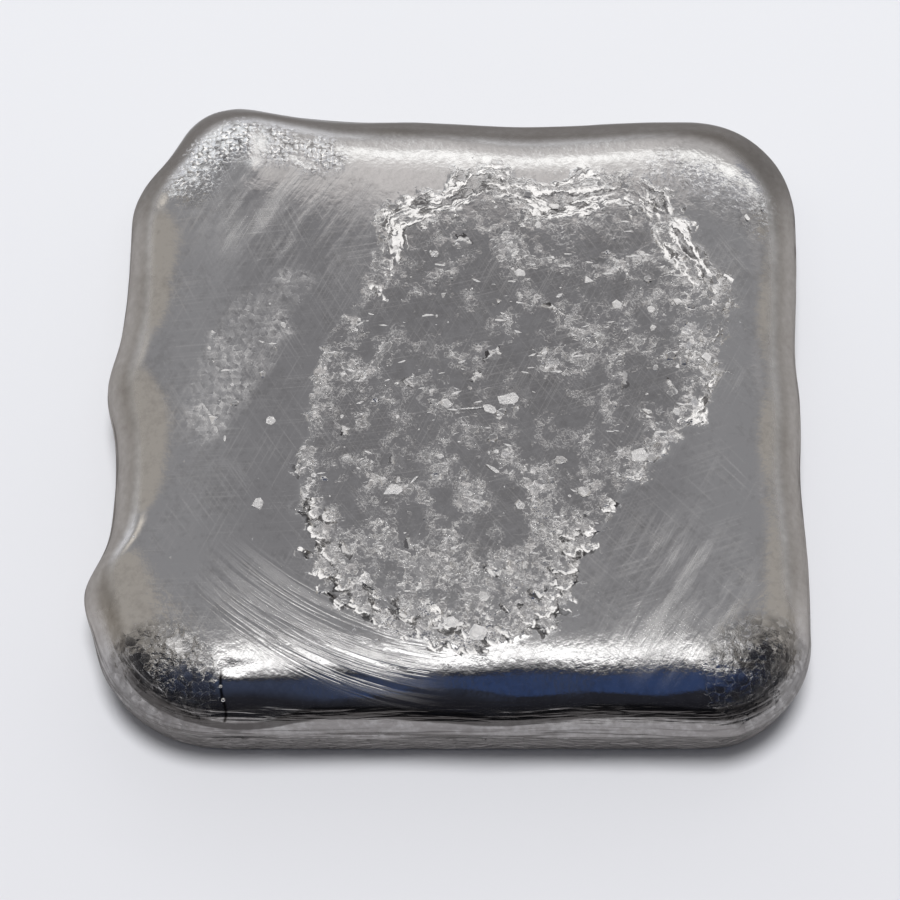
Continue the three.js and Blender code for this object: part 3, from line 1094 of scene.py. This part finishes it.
def studio_world():
    """What the metal reflects: a grey ceiling, a dark front, pale walls and a bright back.

    A direction is given in degrees: `front` from overhead towards the camera, `side` towards the
    right, and `rise` above the horizon."""
    world = bpy.data.worlds.new("studio")
    world.use_nodes = True
    bpy.context.scene.world = world
    tree = world.node_tree
    direction = Field(tree, tree.nodes.new("ShaderNodeTexCoord").outputs["Generated"])
    x, y, z = split(direction)
    to_degrees = 180 / math.pi
    front = compute(tree, "ARCTAN2", -y, z) * to_degrees
    side = compute(tree, "ARCSINE", x) * to_degrees
    wide = absolute(side)
    rise = compute(tree, "ARCSINE", z) * to_degrees

    overhead = measure("LENGTH", join(tree, side, front + 24.0, 0.0))
    left_wall = smooth(side - front * 0.62 + 17.5, 2.5, -2.5)
    right_wall = smooth(side + front * 0.85 - 16.5, -2.5, 2.5)
    wall = greater(left_wall, right_wall)
    glow = bell(front - 6.0, 5.0) * smooth(wide, 38.0, 24.0) * (0.8 - bell(side, 5.0) * 0.4)
    far_wall = smooth(front, -28.0, -38.0) * smooth(front, -88.0, -66.0) * between(side, -2.0, 5.0, 5.0)
    far_side = between(front, -84.0, -37.0, 8.0) * between(side, 8.0, 34.0, 12.0)
    sway = smooth(side, 4.0, 22.0) * 8.0 - smooth(side, 40.0, 52.0) * 11.0
    strip_light = bell(front + 57.0 - sway, 4.0) * between(side, -2.0, 52.0, 5.0)
    strip_shadow = greater(
        bell(front + 67.0 - sway, 3.0) * between(side, 28.0, 54.0, 5.0),
        bell(front + 48.0 - sway, 2.5) * between(side, 8.0, 30.0, 5.0),
    )
    window = smooth(front, -49.0, -63.0) * smooth(front, -92.0, -80.0) * between(side, -36.0, -4.0, 5.0)
    flank = smooth(side, 20.0, 28.0) * 17.0 + smooth(side, -24.0, -29.0) * 8.0
    softness = 1.0 + smooth(wide, 24.0, 34.0) * 2.5
    dark_front = smooth((front + flank - 14.0) / softness, -2.0, 2.0) * smooth(wide, 70.0, 64.0)
    slate_cloth = smooth(front, 16.0, 20.0) * smooth(front, 56.0, 24.0) * between(side, -24.0, -1.0, 3.0)
    lift = smooth(front, 30.0, 50.0) * (5.5 + smooth(wide, 26.0, 40.0) * 2.5)
    places = {  # each lies over those before it
        "ceiling_edge": smooth(overhead, 4.0, 16.0),
        "wall": wall,
        "skirting": wall * smooth(rise, 24.0, 6.0),
        "lamp_glow": glow,
        "far_wall": far_wall,
        "far_side": far_side,
        "strip_light": strip_light,
        "strip_shadow": strip_shadow * 0.7,
        "window": window,
        "curtain": bell(front + 62.0, 9.0) * bell(side + 46.0, 4.0),
        "dark_front": dark_front,
        "navy_cloth": between(front, 20.0, 34.0, 4.0) * between(side, 1.0, 30.0, 3.0),
        "slate_cloth": slate_cloth,
        "horizon": smooth(rise - lift, 11.0, 6.0),
    }
    colour = (*ROOM["ceiling"], 1)
    for name, share in places.items():
        colour = mix_colour(tree, colour, (*ROOM[name], 1), share)
    world.cycles.sampling_method = "NONE"
    background = tree.nodes["Background"]
    feed(tree, background.inputs["Color"], colour)
    prune(tree)


def studio_lamps(stage):
    """A long narrow soft box overhead, and a broad fill that only matt surfaces show."""
    data = bpy.data.lights.new("overhead_box", "AREA")
    data.shape = "RECTANGLE"
    data.size, data.size_y = SOFT_BOX_SIZE
    data.energy = stage.lamp_power
    lamp = new_object("overhead_box", data)
    lamp.location = SOFT_BOX_PLACE
    look_at(lamp, (0, 0, 0))

    data = bpy.data.lights.new("fill", "SUN")
    data.angle = FILL_SOFTNESS
    data.energy = stage.fill_strength
    fill = new_object("fill", data)
    fill.location = FILL_PLACE
    look_at(fill, (0, 0, 0))
    fill.visible_glossy = False


# --- the add-on -------------------------------------------------------------------------------


class SkinSettings(bpy.types.PropertyGroup):
    metal_colour: FloatVectorProperty(
        name="Metal Colour", description="Colour of the bright tin", subtype="COLOR",
        size=3, min=0.0, max=1.0, default=(0.76, 0.752, 0.75),
    )
    edge_tint: FloatVectorProperty(
        name="Edge Tint", description="How bright the metal is where it is seen edge on", subtype="COLOR",
        size=3, min=0.0, max=1.0, default=(0.6, 0.59, 0.58),
    )
    film_colour: FloatVectorProperty(
        name="Film Colour", description="Colour of the pale shreds in the frosted patch",
        subtype="COLOR", size=3, min=0.0, max=1.0, default=(0.95, 0.93, 0.91),
    )
    # Partly the oxide's colour and partly painted shade: dark enough that the low shoulder and wall
    # reflect the pale table darkly
    oxide_colour: FloatVectorProperty(
        name="Oxide Colour", description="Colour of the dull shoulder and wall", subtype="COLOR",
        size=3, min=0.0, max=1.0, default=(0.30, 0.285, 0.28),
    )
    tarnish_colour: FloatVectorProperty(
        name="Tarnish Colour", description="Colour of the warm tarnish on the sides", subtype="COLOR",
        size=3, min=0.0, max=1.0, default=(0.43, 0.395, 0.355),
    )
    # The colour of a painted sheen on the grains of the back corners
    painted_sheen_colour: FloatVectorProperty(
        name="Sheen Colour", description="Cool tint of the facets in the corners", subtype="COLOR",
        size=3, min=0.0, max=1.0, default=(0.66, 0.73, 0.86),
    )
    # The colour of the painted shade and shadows
    painted_shade_colour: FloatVectorProperty(
        name="Crack Colour", description="Colour of the darkest oxide", subtype="COLOR",
        size=3, min=0.0, max=1.0, default=(0.045, 0.04, 0.038),
    )
    rim_crinkle: FloatProperty(
        name="Rim Crinkle", description="Height of the creases round the frosted patch",
        default=0.07 * MM, min=0.0, unit="LENGTH",
    )
    wall_crumple: FloatProperty(
        name="Wall Crumple", description="Depth of the lumps in the wall that the mould formed",
        default=0.22 * MM, min=0.0, unit="LENGTH",
    )
    levels: IntProperty(
        name="Levels", description="How often the shell's faces are halved", default=2, min=0, max=3,
    )


class FrostSettings(bpy.types.PropertyGroup):
    density: FloatProperty(
        name="Density", description="Most plates on a square millimetre", default=5.0, min=0.0,
    )
    longest: FloatProperty(
        name="Longest", description="Length of the longest plate", default=0.9 * MM, min=0.0,
        unit="LENGTH",
    )
    tilt: FloatProperty(
        name="Tilt", description="How far a plate leans at most", default=math.radians(11),
        subtype="ANGLE",
    )
    seed: IntProperty(name="Seed", description="Another seed strews the plates anew", default=4)


class StageSettings(bpy.types.PropertyGroup):
    lens: FloatProperty(
        name="Lens", description="Focal length of the camera", default=144.0, unit="CAMERA",
    )
    camera_elevation: FloatProperty(
        name="Camera Elevation", description="Height of the camera above the horizon",
        default=math.radians(68), subtype="ANGLE",
    )
    camera_distance: FloatProperty(
        name="Camera Distance", description="From the camera to the ingot",
        default=228.52 * MM, unit="LENGTH",
    )
    lamp_power: FloatProperty(
        name="Lamp Power", description="Power of the soft box overhead", default=0.1, unit="POWER",
    )
    fill_strength: FloatProperty(
        name="Fill Strength", description="Strength of the fill on the table", default=2.48,
    )
    floor_near: FloatVectorProperty(
        name="Near Table", description="Colour of the table in front", subtype="COLOR",
        size=3, min=0.0, max=1.0, default=(0.715, 0.72, 0.75),
    )
    floor_far: FloatVectorProperty(
        name="Far Table", description="Colour of the table at the back", subtype="COLOR",
        size=3, min=0.0, max=1.0, default=(0.77, 0.78, 0.81),
    )


class INGOT_OT_cast_skin(bpy.types.Operator):
    """Make the ingot's skin from the CAD solid"""

    bl_idname = "ingot.cast_skin"
    bl_label = "Cast Skin"

    def execute(self, context):
        skin = context.scene.ingot_skin
        material = cast_tin_material(skin, hairlines_group(), tin_tone_group())
        piece = new_object("cast_skin", ingot_shell())
        low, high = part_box("ingot")
        run_geometry_tree(piece, skin_tree(), {
            "Levels": skin.levels,
            "Rim Crinkle": skin.rim_crinkle,
            "Wall Crumple": skin.wall_crumple,
            "Lowest Corner": tuple(low),
            "Highest Corner": tuple(high),
            "Material": material,
        })
        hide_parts("ingot")
        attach(piece, "root")
        return {"FINISHED"}


class INGOT_OT_frost_crystals(bpy.types.Operator):
    """Strew the frosted patch with thin plates of tin"""

    bl_idname = "ingot.frost_crystals"
    bl_label = "Frost Crystals"

    def execute(self, context):
        frost = context.scene.ingot_frost
        material = crystal_material(
            context.scene.ingot_skin,
            bpy.data.node_groups["Hairline scratches"], bpy.data.node_groups["Tin tone"],
        )
        piece = new_object("frost_crystals", bpy.data.objects["cast_skin"].data.copy())
        run_geometry_tree(piece, crystal_tree(), {
            "Density": frost.density,
            "Longest": frost.longest,
            "Tilt": frost.tilt,
            "Seed": frost.seed,
            "Highest Corner": tuple(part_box("ingot")[1]),
            "Material": material,
        })
        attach(piece, "root")
        return {"FINISHED"}


class INGOT_OT_stray_flakes(bpy.types.Operator):
    """Lay the larger single flakes and the beads on the skin"""

    bl_idname = "ingot.stray_flakes"
    bl_label = "Stray Flakes"

    def execute(self, context):
        piece = new_object("stray_flakes", stray_mesh(bpy.data.objects["cast_skin"].data))
        piece.data.materials.append(bpy.data.materials["tin_crystals"])
        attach(piece, "root")
        return {"FINISHED"}


class INGOT_OT_studio(bpy.types.Operator):
    """Set up the table, the lamps, the surroundings and the camera"""

    bl_idname = "ingot.studio"
    bl_label = "Studio"

    def execute(self, context):
        stage = context.scene.ingot_stage
        context.scene.view_settings.view_transform = "Standard"
        studio_floor(stage)
        studio_world()
        studio_lamps(stage)
        studio_camera(stage)
        return {"FINISHED"}


class VIEW3D_PT_ingot(bpy.types.Panel):
    bl_label = "Cast Tin Ingot"
    bl_space_type = "VIEW_3D"
    bl_region_type = "UI"
    bl_category = "Ingot"

    def draw(self, context):
        scene = context.scene
        for operator, settings in (
            (INGOT_OT_cast_skin, scene.ingot_skin),
            (INGOT_OT_frost_crystals, scene.ingot_frost),
            (INGOT_OT_stray_flakes, None),
            (INGOT_OT_studio, scene.ingot_stage),
        ):
            box = self.layout.box()
            box.operator(operator.bl_idname)
            for name in settings.__annotations__ if settings else ():
                box.prop(settings, name)


CLASSES = (
    SkinSettings, FrostSettings, StageSettings,
    INGOT_OT_cast_skin, INGOT_OT_frost_crystals, INGOT_OT_stray_flakes, INGOT_OT_studio, VIEW3D_PT_ingot,
)


def register():
    for cls in CLASSES:
        bpy.utils.register_class(cls)
    bpy.types.Scene.ingot_skin = PointerProperty(type=SkinSettings)
    bpy.types.Scene.ingot_frost = PointerProperty(type=FrostSettings)
    bpy.types.Scene.ingot_stage = PointerProperty(type=StageSettings)


def unregister():
    del bpy.types.Scene.ingot_stage
    del bpy.types.Scene.ingot_frost
    del bpy.types.Scene.ingot_skin
    for cls in reversed(CLASSES):
        bpy.utils.unregister_class(cls)


def main():
    register()
    bpy.ops.ingot.cast_skin()
    bpy.ops.ingot.frost_crystals()
    bpy.ops.ingot.stray_flakes()
    bpy.ops.ingot.studio()


if __name__ == "__main__":
    main()
